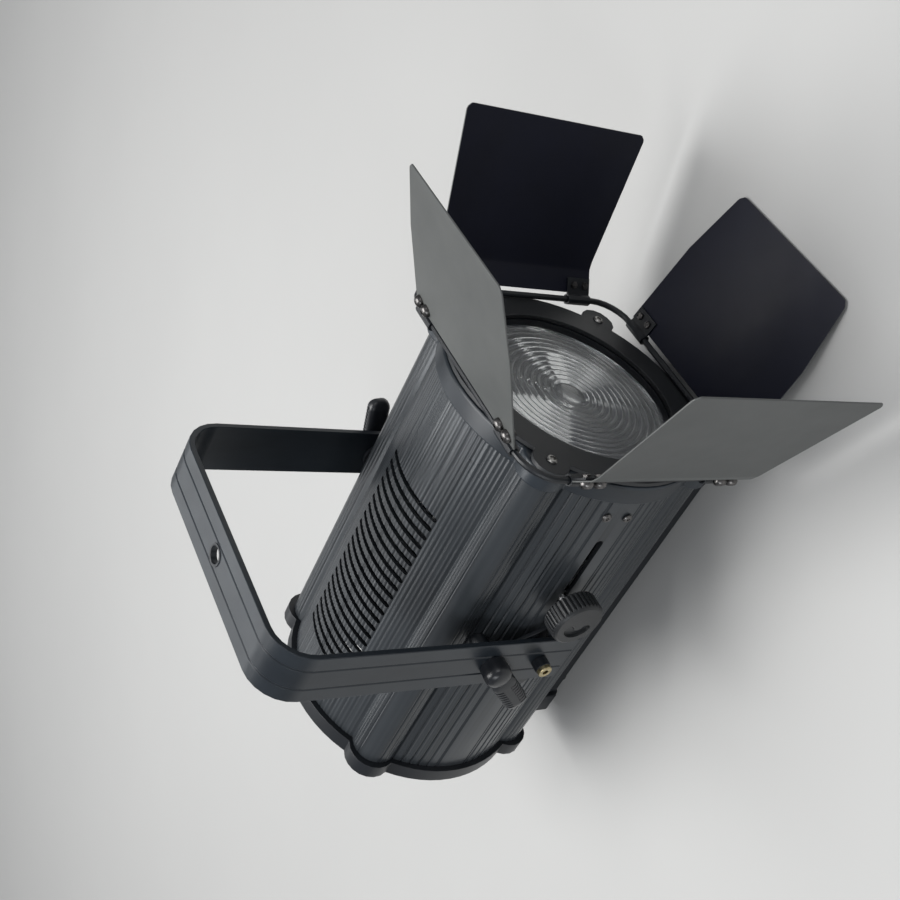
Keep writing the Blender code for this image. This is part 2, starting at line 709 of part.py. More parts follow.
def pivots():
    inner_face = YOKE_HALF - YOKE_THICK
    sector_out = inner_face - 0.5
    sector_in = sector_out - SECTOR_THICK
    tilt = math.radians(YOKE_TILT)
    bolt_y = PIVOT_Y + BOLT_DROP * math.sin(tilt)
    bolt_z = PIVOT_Z - BOLT_DROP * math.cos(tilt)
    for name, side in (("left", -1), ("right", 1)):
        points, slot = sector_loop()
        outline = [(PIVOT_Y + a, PIVOT_Z + b) for a, b in points]
        opening = [(PIVOT_Y + a, PIVOT_Z + b) for a, b in slot]
        hole = circle(STUD_R + GAP, 20, PIVOT_Y, PIVOT_Z)
        screws = [circle(2.6, 12, PIVOT_Y + a, PIVOT_Z - 53.5) for a in (-20.0, 0.0, 20.0)]
        loops = [outline, opening, hole] + screws
        emit("sector_plate_" + name, plate(loops, "X", side * sector_in, side * sector_out), BLACK)

        boss_out = sector_in - 0.2
        profile = [
            (0.0, side * (BODY_R - 22.0)), (BOSS_R, side * (BODY_R - 22.0)), (BOSS_R, side * boss_out),
            (STUD_R, side * boss_out), (STUD_R, side * (YOKE_HALF + 10.0)),
            (0.0, side * (YOKE_HALF + 10.0)),
        ]
        stud = emit("pivot_stud_" + name, lathe(profile, "X", 24, PIVOT_Y, PIVOT_Z), BLACK)
        clear = lobed_loop(BODY_R + GAP, BODY_LOBE_D, BODY_LOBE_R + GAP, LOBE_ANGLE, 24, 10)
        trim = plate([clear], "Y", PIVOT_Y - 50.0, PIVOT_Y + 50.0)
        tool(stud, "stud_tool_" + name, trim, BLACK, "DIFFERENCE")

        head = YOKE_HALF + GAP
        tip = head + BOLT_HEAD_LEN
        nut_out = sector_in - 0.3
        bm = bmesh.new()
        hexagon = circle(2.6, 6, bolt_y, bolt_z)
        grip = circle(BOLT_HEAD_R, 24, bolt_y, bolt_z)
        slim = circle(BOLT_HEAD_R - 0.6, 24, bolt_y, bolt_z)
        shank = circle(BOLT_R, 24, bolt_y, bolt_z)
        nut = circle(6.2, 24, bolt_y, bolt_z)
        h1 = ring(bm, hexagon, "X", side * (tip - 4.5))
        h2 = ring(bm, hexagon, "X", side * tip)
        g2 = ring(bm, slim, "X", side * tip)
        g1 = ring(bm, grip, "X", side * (tip - 0.6))
        g0 = ring(bm, grip, "X", side * head)
        s1 = ring(bm, shank, "X", side * head)
        s0 = ring(bm, shank, "X", side * nut_out)
        n1 = ring(bm, nut, "X", side * nut_out)
        n0 = ring(bm, nut, "X", side * (nut_out - 2.4))
        fill(bm, [h1])
        wall(bm, h1, h2)
        fill(bm, [g2, h2])
        wall(bm, g2, g1)
        wall(bm, g1, g0)
        fill(bm, [g0, s1])
        wall(bm, s1, s0)
        fill(bm, [n1, s0])
        wall(bm, n1, n0)
        fill(bm, [n0])
        emit("lock_bolt_" + name, bm, BRASS)
        lever(name, side)


def lever(name, side):
    base = YOKE_HALF + 0.4
    origin = (side * base, PIVOT_Y, PIVOT_Z)
    length = LEVER_HUB_LEN
    bore = STUD_R + GAP
    depth = 10.2
    profile = [
        (bore, 0.0), (LEVER_HUB_R, 0.0), (LEVER_HUB_R, side * (length - 5.0)),
        (LEVER_HUB_R - 1.5, side * (length - 2.0)), (LEVER_HUB_R - 4.5, side * (length - 0.3)),
        (0.0, side * length), (0.0, side * depth), (bore, side * depth),
    ]
    bm = bmesh.new()
    rows = []
    segs = 20
    for radius, t in profile:
        if radius == 0.0:
            rows.append([bm.verts.new((t, 0.0, 0.0))])
        else:
            rows.append(ring(bm, circle(radius, segs), "X", t))
    order = [(0, 1), (1, 2), (2, 3), (3, 4), (4, 5), (6, 7), (7, 0)]
    for a, b in order:
        for i in range(segs):
            j = (i + 1) % segs
            first, second = rows[a], rows[b]
            if len(first) == 1:
                bm.faces.new((first[0], second[j], second[i]))
            elif len(second) == 1:
                bm.faces.new((first[i], first[j], second[0]))
            else:
                bm.faces.new((first[i], first[j], second[j], second[i]))
    hub = emit("tilt_lever_" + name, bm, PLASTIC, origin)
    # ribbed handle leaning slightly outward
    rest = math.radians(LEVER_REST[name])
    run = (math.cos(rest), math.sin(rest))
    across = (-run[1], run[0])
    sections = []
    ribs = 6
    stations = [(6.2, 0.72, 0.8), (13.0, 1.0, 1.0)]
    start = 16.0
    pitch = (LEVER_LENGTH - 4.0 - start) / ribs
    for i in range(ribs):
        t = start + i * pitch
        stations.append((t, 1.0, 1.0))
        stations.append((t + pitch * 0.45, 0.93, 0.9))
    stations.append((LEVER_LENGTH - 3.0, 0.98, 1.0))
    stations.append((LEVER_LENGTH, 0.74, 0.7))
    for t, wide, deep in stations:
        w = LEVER_WIDTH / 2.0 * wide
        d = LEVER_THICK / 2.0 * deep
        out = 10.5 + 6.5 * t / LEVER_LENGTH
        out = max(out, d + 4.0) if t > 12.0 else out
        section = []
        for a, b in rounded_rect(-w, w, -d, d, min(w, d) * 0.5, 1):
            section.append((side * (out + b), run[0] * t + across[0] * a, run[1] * t + across[1] * a))
        sections.append(section)
    tool(hub, "lever_tool_" + name, sweep_loop(sections), PLASTIC, "UNION", origin)


def zoom_drive():
    # knob
    inner = BODY_R + KNOB_STANDOFF
    origin = (-inner, KNOB_Y, KNOB_Z)
    teeth = []
    small = []
    count = KNOB_TEETH
    for i in range(count):
        for frac, radius in ((0.0, KNOB_R), (0.5, KNOB_R), (0.62, KNOB_R - 1.1), (0.88, KNOB_R - 1.1)):
            ang = 2.0 * math.pi * (i + frac) / count
            teeth.append((radius * math.cos(ang), radius * math.sin(ang)))
            rim = radius - 2.2
            small.append((rim * math.cos(ang), rim * math.sin(ang)))
    # kidney-shaped finger dish: an arc of constant width with round ends
    dish = arc(DISH_OUT, -DISH_SPAN, DISH_SPAN, 9)
    end = math.radians(DISH_SPAN)
    mid = (DISH_OUT + DISH_IN) / 2.0
    tip = (DISH_OUT - DISH_IN) / 2.0
    dish += arc(tip, DISH_SPAN, DISH_SPAN + 180.0, 5, mid * math.cos(end), mid * math.sin(end))[1:-1]
    dish += arc(DISH_IN, DISH_SPAN, -DISH_SPAN, 6)
    dish += arc(tip, 180.0 - DISH_SPAN, 360.0 - DISH_SPAN, 5, mid * math.cos(end), -mid * math.sin(end))[1:-1]
    bore = circle(STEM_R + GAP, 16)
    bm = bmesh.new()
    t0 = ring(bm, teeth, "X", 0.0)
    t1 = ring(bm, teeth, "X", -(KNOB_LEN - 2.0))
    t2 = ring(bm, small, "X", -KNOB_LEN)
    d2 = ring(bm, dish, "X", -KNOB_LEN)
    d1 = ring(bm, dish, "X", -(KNOB_LEN - 2.6))
    b0 = ring(bm, bore, "X", 0.0)
    b1 = ring(bm, bore, "X", -9.0)
    wall(bm, t0, t1)
    wall(bm, t1, t2)
    fill(bm, [t2, d2])
    wall(bm, d2, d1)
    fill(bm, [d1])
    fill(bm, [t0, b0])
    wall(bm, b0, b1)
    fill(bm, [b1])
    emit("zoom_knob", bm, PLASTIC, origin, angle=24)

    # carriage plate with the knob's stem
    y0 = KNOB_Y + 1.0
    y1 = y0 + 5.0
    reach = GUIDE_X + 9.0
    outline = rounded_rect(-reach, reach, -40.0, 40.0, 6.0)
    rods = [circle(GUIDE_R + 0.2, 20, sx * GUIDE_X, GUIDE_Z) for sx in (-1, 1)]
    carriage = emit("zoom_carriage", plate([outline] + rods, "Y", y0, y1), ALU)
    root = -(reach - 4.0)
    collar = -(BORE_R - 7.0)
    tip = -(inner + 7.5)
    stem = lathe([(0.0, root), (7.0, root), (7.0, collar), (STEM_R, collar), (STEM_R, tip), (0.0, tip)],
                 "X", 20, KNOB_Y, KNOB_Z)
    tool(carriage, "stem_tool", stem, ALU, "UNION")

    for name, sx in (("left", -1), ("right", 1)):
        end = BODY_REAR + CAP_DEPTH - CAP_WALL
        profile = [(0.0, 26.3), (GUIDE_R, 26.3), (GUIDE_R, end), (0.0, end)]
        rod = lathe(profile, "Y", 20, sx * GUIDE_X, GUIDE_Z)
        emit("guide_rod_" + name, rod, STEEL)

    board = y0 - GAP
    emitter = [
        (0.0, board), (22.0, board), (22.0, board - 2.0),
        (15.0, board - 2.0), (15.0, board - 3.0), (0.0, board - 3.0),
    ]
    emit("led_emitter", lathe(emitter, "Y", 32), PHOSPHOR)

    # finned heat sink
    base = y1 + GAP
    floor = base + 6.0
    tip = base + 42.0
    width = 44.0
    thick = 2.6
    pitch = (2.0 * width - thick) / (FIN_COUNT - 1)
    comb = [(-width, base), (width, base)]
    for i in range(FIN_COUNT - 1, -1, -1):
        left = -width + i * pitch
        comb += [(left + thick, floor), (left + thick, tip), (left, tip), (left, floor)]
    comb[2] = (width, floor)
    comb.pop(2)
    comb.pop(-1)
    emit("led_heatsink", plate([comb], "Z", -40.0, 40.0), ALU)

    # axial fan behind the fins
    f0 = tip + GAP
    f1 = f0 + 17.0
    f2 = f1 + 3.0
    square = rounded_rect(-44.0, 44.0, -44.0, 44.0, 4.0)
    duct = circle(40.0, 36)
    windows = []
    for k in range(3):
        outer_arc = arc(38.5, 120.0 * k + 8.0, 120.0 * k + 112.0, 8)
        inner_arc = arc(16.0, 120.0 * k + 104.0, 120.0 * k + 16.0, 5)
        windows.append(outer_arc + inner_arc)
    bm = bmesh.new()
    s0 = ring(bm, square, "Y", f0)
    s2 = ring(bm, square, "Y", f2)
    c0 = ring(bm, duct, "Y", f0)
    c1 = ring(bm, duct, "Y", f1)
    w1 = [ring(bm, window, "Y", f1) for window in windows]
    w2 = [ring(bm, window, "Y", f2) for window in windows]
    wall(bm, s0, s2)
    wall(bm, c0, c1)
    for a, b in zip(w1, w2):
        wall(bm, a, b)
    fill(bm, [s0, c0])
    fill(bm, [c1] + w1)
    fill(bm, [s2] + w2)
    emit("fan_frame", bm, PLASTIC)
    blades = 7
    profile = []
    for i in range(blades):
        mid = 360.0 * i / blades
        profile += arc(14.0, mid - 19.0, mid - 7.0, 2)
        profile += arc(37.5, mid - 3.2, mid + 3.2, 1)
        profile += arc(14.0, mid + 7.0, mid + 19.0, 2)
    bm = bmesh.new()
    rows = []
    for step in range(4):
        turn = math.radians(9.0 * step)
        ct, st = math.cos(turn), math.sin(turn)
        turned = [(a * ct - b * st, a * st + b * ct) for a, b in profile]
        rows.append(ring(bm, turned, "Y", 1.1 + 5.2 * step))
    for a, b in zip(rows, rows[1:]):
        wall(bm, a, b)
    fill(bm, [rows[0]])
    fill(bm, [rows[-1]])
    emit("fan_rotor", bm, BLACK, origin=(0.0, f0, 0.0))


def base_group():
    half = BASE_HALF
    wall_t = BASE_WALL
    channel = [
        (-half, BASE_TOP), (-half, BASE_BOTTOM + 3.0), (-half + 3.0, BASE_BOTTOM),
        (half - 3.0, BASE_BOTTOM), (half, BASE_BOTTOM + 3.0), (half, BASE_TOP),
        (half - wall_t, BASE_TOP), (half - wall_t, BASE_BOTTOM + wall_t),
        (-half + wall_t, BASE_BOTTOM + wall_t), (-half + wall_t, BASE_TOP),
    ]
    emit("base_channel", plate([channel], "Y", BASE_FRONT, BASE_REAR), BLACK)
    end = half + 4.0
    low = BASE_BOTTOM - 1.0
    top_z = BASE_TOP - 2.0
    outline = [
        (-end, top_z), (-end, low + 5.0), (-end + 5.0, low),
        (end - 5.0, low), (end, low + 5.0), (end, top_z),
    ]
    steps = [half - 10.0 - (half - 10.0) * i / 4.0 for i in range(9)]
    under = [(x, -math.sqrt((BODY_R + 0.55)**2 - x**2)) for x in steps]
    emit("base_end", plate([outline + under], "Y", BASE_REAR + GAP, BASE_REAR + BASE_END_LEN), PLASTIC)
    side = half - wall_t - 7.5
    tray = rounded_rect(-side, side, BASE_BOTTOM + wall_t + GAP, -(BODY_R + 3.0), 2.0)
    driver = plate([tray], "Y", BASE_FRONT + 43.0, BASE_REAR - 50.0)
    emit("driver_unit", driver, ALU)
    inset = half - 11.0
    spots = [(sx * inset, y) for y in (BASE_FRONT + 29.0, BASE_REAR - 12.0) for sx in (-1, 1)]
    for i, (x, y) in enumerate(spots):
        top = BASE_BOTTOM - GAP
        profile = [
            (0.0, top), (FOOT_R, top), (FOOT_R, ORIGIN_Z + 1.0), (FOOT_R - 1.0, ORIGIN_Z), (0.0, ORIGIN_Z),
        ]
        emit("foot_%d" % (i + 1), lathe(profile, "Z", 20, x, y), RUBBER)


def side_screws():
    for i, z in enumerate((15.0, -3.0)):
        ang = math.degrees(math.asin(z / BODY_R))
        profile = [(0.0, 0.0), (3.6, 0.0), (3.6, 0.9), (2.6, 1.8), (1.2, 1.9), (1.2, 1.0), (0.0, 1.0)]
        bm = lathe(profile, "X", 16)
        for vert in bm.verts:
            vert.co.x = -vert.co.x
        r = BODY_R + 0.5
        rad = math.radians(ang)
        place = (-r * math.cos(rad), 31.0, r * math.sin(rad))
        emit("side_screw_%d" % (i + 1), bm, BLACK, place, (0.0, ang, 0.0))


housing_shell()
cap_back = rear_cap()
rear_controls(cap_back)
front_group()
barndoor_frame()
for leaf_kind in ("top", "bottom", "right", "left"):
    leaf(leaf_kind)
yoke()
pivots()
zoom_drive()
base_group()
side_screws()
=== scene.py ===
import json
import math

import bmesh
import bpy
from mathutils import Matrix, Vector

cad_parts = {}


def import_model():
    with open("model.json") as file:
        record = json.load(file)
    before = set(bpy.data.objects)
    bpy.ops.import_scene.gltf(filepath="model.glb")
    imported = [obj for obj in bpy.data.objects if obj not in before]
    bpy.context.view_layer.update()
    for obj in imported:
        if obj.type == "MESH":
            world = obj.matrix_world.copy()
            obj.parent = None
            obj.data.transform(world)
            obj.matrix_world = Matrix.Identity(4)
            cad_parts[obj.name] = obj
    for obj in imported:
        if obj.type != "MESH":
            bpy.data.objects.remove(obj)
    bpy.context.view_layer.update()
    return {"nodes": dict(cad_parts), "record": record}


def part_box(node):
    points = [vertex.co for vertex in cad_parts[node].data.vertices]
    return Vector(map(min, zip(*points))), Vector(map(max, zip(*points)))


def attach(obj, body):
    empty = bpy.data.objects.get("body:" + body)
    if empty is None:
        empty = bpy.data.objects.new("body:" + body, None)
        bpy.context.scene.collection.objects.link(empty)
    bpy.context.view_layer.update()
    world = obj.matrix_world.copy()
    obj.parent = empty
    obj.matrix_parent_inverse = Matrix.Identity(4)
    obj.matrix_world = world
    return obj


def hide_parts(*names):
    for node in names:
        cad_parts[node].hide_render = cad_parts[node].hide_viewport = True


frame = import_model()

MM = 0.001

# the optical axis and the bezel's front face, in the frame's own metres
bez_lo, bez_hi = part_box("front_bezel")
X0 = (bez_lo[0] + bez_hi[0]) / 2.0
Z0 = (bez_lo[2] + bez_hi[2]) / 2.0
Y0 = bez_lo[1]

# body section and vents, as in the solids
BODY_R = 100.5
LOBE_D = 93.5
LOBE_R = 18.5
BORE_R = 97.0
LOBE_ANGLE = 42.7
BODY_FRONT = 16.3
BODY_REAR = 324.2
VENT_FIRST = 97.5
VENT_PITCH = 9.2
VENT_COUNT = 21
VENT_WIDTH = 4.2
VENT_HALF = 37.0
LENS_R = 82.0
SLIDE_SLOT_FRONT = 60.7
SLIDE_SLOT_REAR = 5.7
SLIDE_SLOT_HALF = 3.2

# leaves and their clips: places along the rod, angles in degrees at rest
CLIP_AT = {"top": 63.5, "bottom": 63.5, "right": 60.3, "left": 60.3}
LEAF_REST = {"top": 29.0, "bottom": 9.5, "right": 40.0, "left": 45.0}
LEAF_KINDS = ("top", "bottom", "right", "left")
SHEET = 1.2
GAP = 0.3
SHEET_EDGE = 0.3
LEAF_ROOT = 5.4
SIDE_BEND = 25.0
SIDE_BEND_AT = 23.0
SIDE_BEND_R = 7.0
SIDE_FLAP_AT = 26.0
SIDE_ROOT_HALF = 72.5
CLIP_SCREW_U = 5.4
CLIP_SCREW_V = 11.3
CLIP_DOME = [(0.0, 1.45), (4.7, 1.45), (4.8, 2.8), (4.3, 4.4), (3.1, 5.5), (1.7, 5.9), (1.7, 4.6), (0.0, 4.6)]
CLIP_NUT = [(0.0, -3.6), (2.7, -3.6), (2.9, -3.3), (2.9, -1.5), (0.0, -1.5)]

# housing skin: round ribs on the top face, plain strips at the sides, deep grooves elsewhere (degrees and mm)
TOP_RIBS_ABOVE = 50.0
TOP_RIB_PITCH = 2.1
PLAIN_LOW = -5.0
PLAIN_HIGH = 10.0
PLAIN_EDGE = 0.35
GROOVE_PITCH = 4.3
GROOVE_AT = 2.15
BEAD_AT = 1.35
GROOVE_DEPTH = 1.1
BEAD_HEIGHT = 0.3
OUTLINE_STEP = 0.35
RAIL_STEPS = 48

# lens rings and the light chamber
LENS_CENTRE_R = 13.0
LENS_RINGS = 12
LENS_RIM = 4.6
RING_STEPS = 5

# yoke, clamp levers and zoom knob
YOKE_TILT = 2.46
YOKE_RISE = 182.2
LEVER_REST = {"left": -45.0, "right": 170.0}
LEVER_LENGTH = 45.0
LEVER_RIBS = 8
LEVER_END = 8.0
LEVER_GROOVE = 1.5
LEVER_DOME = [(10.2, 0.0), (10.3, 4.0), (10.5, 8.0), (10.2, 11.0)]
LEVER_DOME += [(8.9, 13.4), (6.6, 15.0), (3.4, 15.8), (0.0, 16.0)]
KNOB_TEETH = 36
KNOB_R = 20.5
KNOB_LEN = 16.0

# floor and backdrop in metres
FLOOR_NEAR = 4.0
FLOOR_HALF = 6.0
CURVE_AT = 2.4
CURVE_R = 1.2
WALL_TOP = 4.5

# camera: degrees, metres and the lens in millimetres
CAMERA_AZIMUTH = -46.347
CAMERA_ELEVATION = 34.733
CAMERA_DISTANCE = 1.0406
CAMERA_LENS = 49.7
CAMERA_TARGET = (91.62, 150.0, -8.22)


def world(x, y, z):
    return Vector((X0 + x * MM, Y0 + y * MM, Z0 + z * MM))


def joint_pos(name):
    for joint in frame["record"]["behaviour"]["joints"]:
        if joint["name"] == name:
            return Vector(joint["pos_m"])
    raise ValueError(name)


# ---------------------------------------------------------------- materials


def shader(name, rgb, rough, metal=0.0):
    mat = bpy.data.materials.new(name)
    mat.use_nodes = True
    tree = mat.node_tree
    node = tree.nodes["Principled BSDF"]
    node.inputs["Base Color"].default_value = (rgb[0], rgb[1], rgb[2], 1.0)
    node.inputs["Roughness"].default_value = rough
    node.inputs["Metallic"].default_value = metal
    return mat, tree, node


def coords(tree, scale):
    where = tree.nodes.new("ShaderNodeTexCoord")
    mapping = tree.nodes.new("ShaderNodeMapping")
    mapping.inputs["Scale"].default_value = scale
    tree.links.new(where.outputs["Object"], mapping.inputs["Vector"])
    return mapping.outputs["Vector"]


def noise(tree, vector, scale, detail=4.0, rough=0.55):
    tex = tree.nodes.new("ShaderNodeTexNoise")
    tex.inputs["Scale"].default_value = scale
    tex.inputs["Detail"].default_value = detail
    tex.inputs["Roughness"].default_value = rough
    tree.links.new(vector, tex.inputs["Vector"])
    return tex.outputs["Fac"]


def remap(tree, value, low, high, from_low=0.3, from_high=0.7):
    node = tree.nodes.new("ShaderNodeMapRange")
    node.inputs["From Min"].default_value = from_low
    node.inputs["From Max"].default_value = from_high
    node.inputs["To Min"].default_value = low
    node.inputs["To Max"].default_value = high
    tree.links.new(value, node.inputs["Value"])
    return node.outputs["Result"]


def tint(tree, value, dark, light):
    node = tree.nodes.new("ShaderNodeMix")
    node.data_type = "RGBA"
    node.inputs["A"].default_value = (*dark, 1.0)
    node.inputs["B"].default_value = (*light, 1.0)
    tree.links.new(value, node.inputs["Factor"])
    return node.outputs["Result"]


def bump(tree, node, value, strength, distance):
    bmp = tree.nodes.new("ShaderNodeBump")
    bmp.inputs["Strength"].default_value = strength
    bmp.inputs["Distance"].default_value = distance
    tree.links.new(value, bmp.inputs["Height"])
    tree.links.new(bmp.outputs["Normal"], node.inputs["Normal"])


def edge_highlight(tree):
    """Painted highlight: lighter where an edge stands out, from the mesh's own pointiness."""
    geo = tree.nodes.new("ShaderNodeNewGeometry")
    return remap(tree, geo.outputs["Pointiness"], 0.0, 1.0, 0.53, 0.62)


def coated(name, dark, light, rough_low, rough_high, stretch, strength, coat=0.0, metal=0.0):
    """Paint or anodising with soft patches, fine tooth and a painted highlight on the edges."""
    mat, tree, node = shader(name, light, rough_high, metal)
    soft = noise(tree, coords(tree, (1.0, 1.0, 1.0)), 14.0, 5.0)
    streak = noise(tree, coords(tree, stretch), 1.0, 5.0, 0.6)
    fine = noise(tree, coords(tree, (1.0, 1.0, 1.0)), 1500.0, 2.0)
    base = tint(tree, remap(tree, streak, 0.0, 1.0), dark, light)
    # painted highlight: convex edges get a lighter colour, standing in for light caught on the edges
    edge_lit = tree.nodes.new("ShaderNodeMix")
    edge_lit.data_type = "RGBA"
    tree.links.new(base, edge_lit.inputs["A"])
    edge_lit.inputs["B"].default_value = (light[0] * 2.2, light[1] * 2.2, light[2] * 2.2, 1.0)
    tree.links.new(remap(tree, edge_highlight(tree), 0.0, 0.5, 0.0, 1.0), edge_lit.inputs["Factor"])
    tree.links.new(edge_lit.outputs["Result"], node.inputs["Base Color"])
    tree.links.new(remap(tree, soft, rough_low, rough_high), node.inputs["Roughness"])
    node.inputs["Coat Weight"].default_value = coat
    node.inputs["Coat Roughness"].default_value = 0.3
    bump(tree, node, fine, strength, 0.0002)
    return mat


HOUSE = coated("anodised_charcoal", (0.006, 0.008, 0.011), (0.030, 0.034, 0.038), 0.26, 0.38,
               (420.0, 2.0, 420.0), 0.10, 0.12, 0.3)
BARS = coated("satin_yoke", (0.009, 0.013, 0.018), (0.018, 0.024, 0.031), 0.32, 0.42,
              (40.0, 40.0, 12.0), 0.12, 0.05, 0.1)
TRIM = coated("satin_black", (0.003, 0.0045, 0.007), (0.008, 0.010, 0.013), 0.36, 0.48,
              (30.0, 30.0, 30.0), 0.2, 0.0)
PLATE = coated("plate_black", (0.010, 0.011, 0.013), (0.018, 0.020, 0.022), 0.42, 0.52,
               (30.0, 30.0, 30.0), 0.2, 0.0)
LEAF = coated("leaf_powder_coat", (0.062, 0.066, 0.065), (0.080, 0.084, 0.082), 0.44, 0.54,
              (24.0, 24.0, 24.0), 0.25, 0.0)
# black inner coat, tinted blue as a painted reflection of the sky's sheen
LEAF_BLACK_SHEEN = coated("leaf_black_painted_sheen", (0.0008, 0.0016, 0.0080), (0.0018, 0.0030, 0.0125), 0.46, 0.58,
                   (24.0, 24.0, 24.0), 0.25, 0.0)
LEAF_BLACK_SHEEN.node_tree.nodes["Principled BSDF"].inputs["Specular IOR Level"].default_value = 0.30
PLASTIC = coated("moulded_plastic", (0.008, 0.009, 0.011), (0.016, 0.018, 0.020), 0.34, 0.48,
                 (60.0, 60.0, 60.0), 0.3, 0.0)
LEVER = coated("lever_nylon", (0.006, 0.007, 0.010), (0.013, 0.015, 0.018), 0.24, 0.34,
               (60.0, 60.0, 60.0), 0.15, 0.1)
RUBBER = coated("rubber_feet", (0.012, 0.012, 0.012), (0.022, 0.022, 0.022), 0.75, 0.9,
                (60.0, 60.0, 60.0), 0.5, 0.0)


def bare(name, dark, light, rough_low, rough_high, stretch):
    """Uncoated metal with fine scratches."""
    mat, tree, node = shader(name, light, rough_high, 1.0)
    scratch = noise(tree, coords(tree, stretch), 1.0, 6.0, 0.65)
    tree.links.new(tint(tree, remap(tree, scratch, 0.0, 1.0), dark, light), node.inputs["Base Color"])
    tree.links.new(remap(tree, scratch, rough_low, rough_high), node.inputs["Roughness"])
    bump(tree, node, scratch, 0.1, 0.0001)
    return mat


STEEL = bare("zinc_steel", (0.26, 0.26, 0.25), (0.46, 0.45, 0.43), 0.24, 0.42, (500.0, 500.0, 500.0))
DARKSTEEL = bare("dark_steel", (0.08, 0.08, 0.08), (0.20, 0.19, 0.185), 0.24, 0.4, (500.0, 500.0, 500.0))
BRASS = bare("yellow_brass", (0.30, 0.24, 0.12), (0.62, 0.54, 0.34), 0.26, 0.42, (400.0, 400.0, 400.0))
ALU = bare("satin_aluminium", (0.55, 0.56, 0.57), (0.78, 0.79, 0.80), 0.3, 0.45, (60.0, 900.0, 60.0))

glass_mat, glass_tree, glass = shader("lens_glass", (0.90, 0.92, 0.92), 0.06)
glass.inputs["Transmission Weight"].default_value = 0.86
glass.inputs["IOR"].default_value = 1.49
glass_smear = noise(glass_tree, coords(glass_tree, (1.0, 1.0, 1.0)), 18.0, 4.0)
glass_tree.links.new(remap(glass_tree, glass_smear, 0.02, 0.07), glass.inputs["Roughness"])

screen_mat, screen_tree, screen = shader("display_glass", (0.02, 0.03, 0.05), 0.08)
screen.inputs["Coat Weight"].default_value = 1.0
screen_dust = noise(screen_tree, coords(screen_tree, (1.0, 1.0, 1.0)), 60.0, 4.0)
screen_tree.links.new(remap(screen_tree, screen_dust, 0.06, 0.16), screen.inputs["Roughness"])

phos_mat, phos_tree, phos = shader("led_phosphor", (0.80, 0.76, 0.42), 0.5)
phos_cells = phos_tree.nodes.new("ShaderNodeTexVoronoi")
phos_cells.inputs["Scale"].default_value = 420.0
phos_tree.links.new(coords(phos_tree, (1.0, 1.0, 1.0)), phos_cells.inputs["Vector"])
phos_color = tint(phos_tree, phos_cells.outputs["Distance"], (0.86, 0.82, 0.50), (0.62, 0.60, 0.36))
phos_tree.links.new(phos_color, phos.inputs["Base Color"])

mirror_mat, mirror_tree, mirror = shader("reflector", (0.36, 0.37, 0.38), 0.28, 0.7)
mirror_dimple = mirror_tree.nodes.new("ShaderNodeTexVoronoi")
mirror_dimple.inputs["Scale"].default_value = 260.0
mirror_tree.links.new(coords(mirror_tree, (1.0, 1.0, 1.0)), mirror_dimple.inputs["Vector"])
bump(mirror_tree, mirror, mirror_dimple.outputs["Distance"], 0.4, 0.0006)

# ---------------------------------------------------------------- mesh tools


def emit(name, bm, mat, body, matrix=None, angle=30.0):
    """Mesh in millimetres about the optical axis, or in the axes of `matrix` when it is given."""
    bmesh.ops.remove_doubles(bm, verts=bm.verts, dist=0.0005)
    bmesh.ops.recalc_face_normals(bm, faces=bm.faces)
    turn = matrix.to_3x3() if matrix is not None else Matrix.Identity(3)
    place = matrix.to_translation() if matrix is not None else Vector((X0, Y0, Z0))
    for vert in bm.verts:
        # the turn goes into the mesh, so that the object's own box stays square to the frame
        vert.co = turn @ (vert.co * MM)
    mesh = bpy.data.meshes.new(name)
    bm.to_mesh(mesh)
    bm.free()
    mesh.materials.append(mat)
    mesh.polygons.foreach_set("use_smooth", [True] * len(mesh.polygons))
    mesh.set_sharp_from_angle(angle=math.radians(angle))
    obj = bpy.data.objects.new(name, mesh)
    bpy.context.scene.collection.objects.link(obj)
    obj.matrix_world = Matrix.Translation(place)
    if body:
        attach(obj, body)
    return obj


def axis_point(axis, a, b, t):
    if axis == "X":
        return (t, a, b)
    if axis == "Y":
        return (a, t, b)
    return (a, b, t)


def ring(bm, loop, axis, t):
    return [bm.verts.new(axis_point(axis, a, b, t)) for a, b in loop]


def wall(bm, first, second):
    count = len(first)
    for i in range(count):
        j = (i + 1) % count
        bm.faces.new((first[i], first[j], second[j], second[i]))


def fill(bm, rings):
    edges = []
    for verts in rings:
        count = len(verts)
        for i in range(count):
            pair = (verts[i], verts[(i + 1) % count])
            edges.append(bm.edges.get(pair) or bm.edges.new(pair))
    bmesh.ops.triangle_fill(bm, use_beauty=True, use_dissolve=False, edges=edges)


def plate(loops, axis, low, high, bm=None):
    bm = bm or bmesh.new()
    lows = [ring(bm, loop, axis, low) for loop in loops]
    highs = [ring(bm, loop, axis, high) for loop in loops]
    for a, b in zip(lows, highs):
        wall(bm, a, b)
    fill(bm, lows)
    fill(bm, highs)
    return bm


def circle(radius, count, ca=0.0, cb=0.0):
    step = 2.0 * math.pi / count
    return [(ca + radius * math.cos(i * step), cb + radius * math.sin(i * step)) for i in range(count)]


def arc(radius, start, end, count, ca=0.0, cb=0.0):
    points = []
    for i in range(count + 1):
        ang = math.radians(start + (end - start) * i / count)
        points.append((ca + radius * math.cos(ang), cb + radius * math.sin(ang)))
    return points


def stadium(a0, a1, b0, b1, count=5):
    """Slot with round ends, longer along the first axis."""
    r = (b1 - b0) / 2.0
    mid = (b0 + b1) / 2.0
    return arc(r, -90, 90, count, a1 - r, mid) + arc(r, 90, 270, count, a0 + r, mid)


